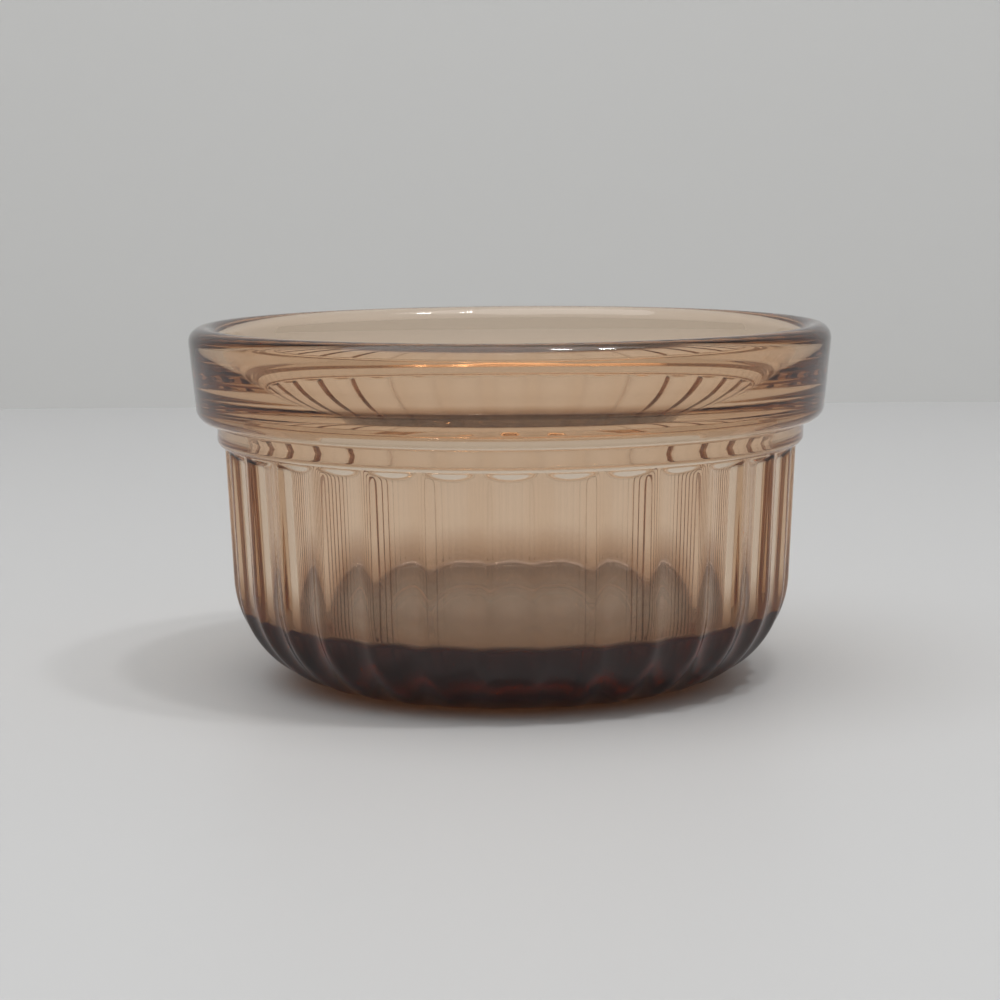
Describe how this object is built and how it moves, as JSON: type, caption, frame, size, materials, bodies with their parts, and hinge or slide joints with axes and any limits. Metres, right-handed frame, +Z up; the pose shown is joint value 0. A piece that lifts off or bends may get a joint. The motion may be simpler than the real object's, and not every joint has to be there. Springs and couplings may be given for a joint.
{
  "type": "ramekin",
  "caption": "Round amber pressed glass ramekin with a plain rounded collar, a neck ring, a concave fluted body, a thick base and a smooth bowl under a curved mouth.",
  "frame": {"origin": "on the axis, in the plane of the standing ring under the base", "axes": "+Z up along the axis of the dish, towards the mouth; -Y is the front, with a flute centred on it"},
  "size_m": [0.09, 0.09, 0.05],
  "materials": {
    "amber_glass": "clear fire-polished pressed glass, amber tint that deepens where the glass is thick"
  },
  "bodies": {
    "root": {"dish": "amber_glass"}
  },
  "joints": []
}
